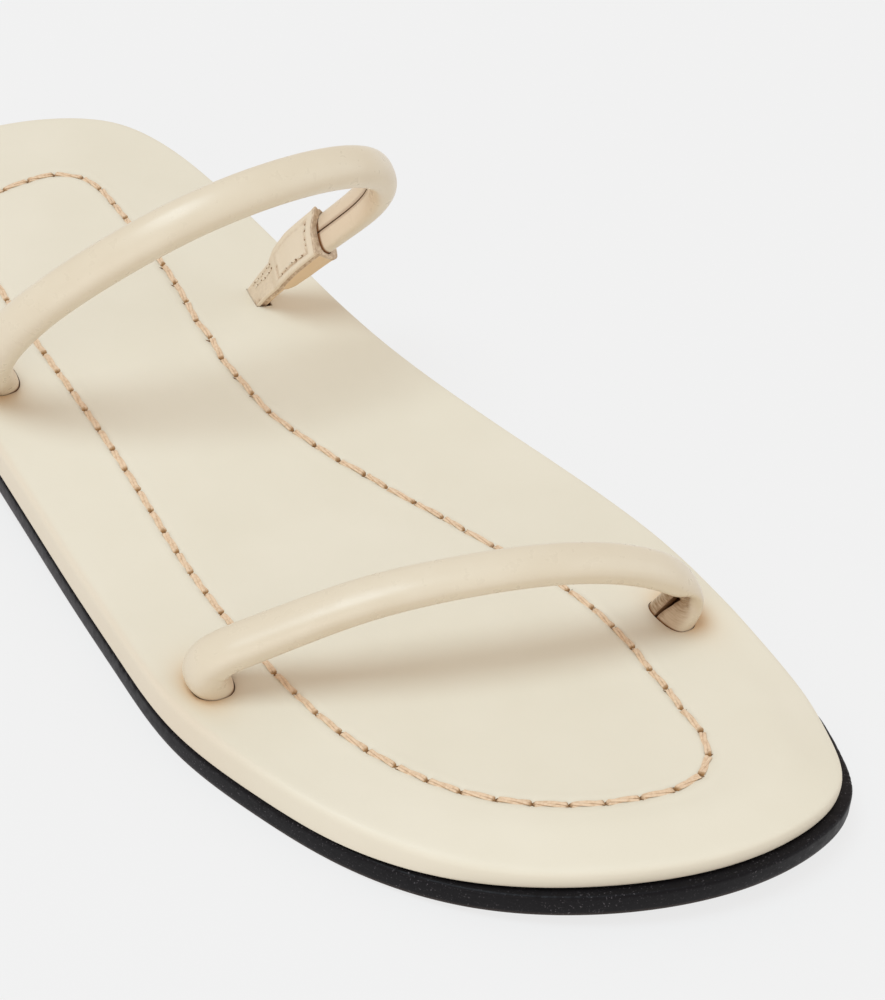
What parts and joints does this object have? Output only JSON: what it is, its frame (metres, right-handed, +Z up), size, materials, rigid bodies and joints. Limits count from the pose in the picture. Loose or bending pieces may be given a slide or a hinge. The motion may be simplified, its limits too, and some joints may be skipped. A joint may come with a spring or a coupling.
{
  "type": "leather slide",
  "caption": "Flat leather slide with a leather-wrapped footbed on a thin rubber sole, a rolled strap over the toes and a taller one over the instep held by a stitched tab.",
  "frame": {"origin": "on the floor, under the centre of the slide's bounding box", "axes": "+Y from heel to toe, +X towards the little toe, +Z up"},
  "size_m": [0.0969, 0.2425, 0.0628],
  "materials": {
    "footbed_leather": "smooth cream leather, soft semi-matt",
    "strap_leather": "smooth cream leather with a soft sheen on the crown",
    "tab_leather": "cream leather with raw tan edges",
    "sole_rubber": "black, satin side"
  },
  "bodies": {
    "root": {"outsole": "sole_rubber", "footbed": "footbed_leather", "front_strap": "strap_leather", "rear_strap": "strap_leather", "rear_strap_tab": "tab_leather"}
  },
  "joints": []
}
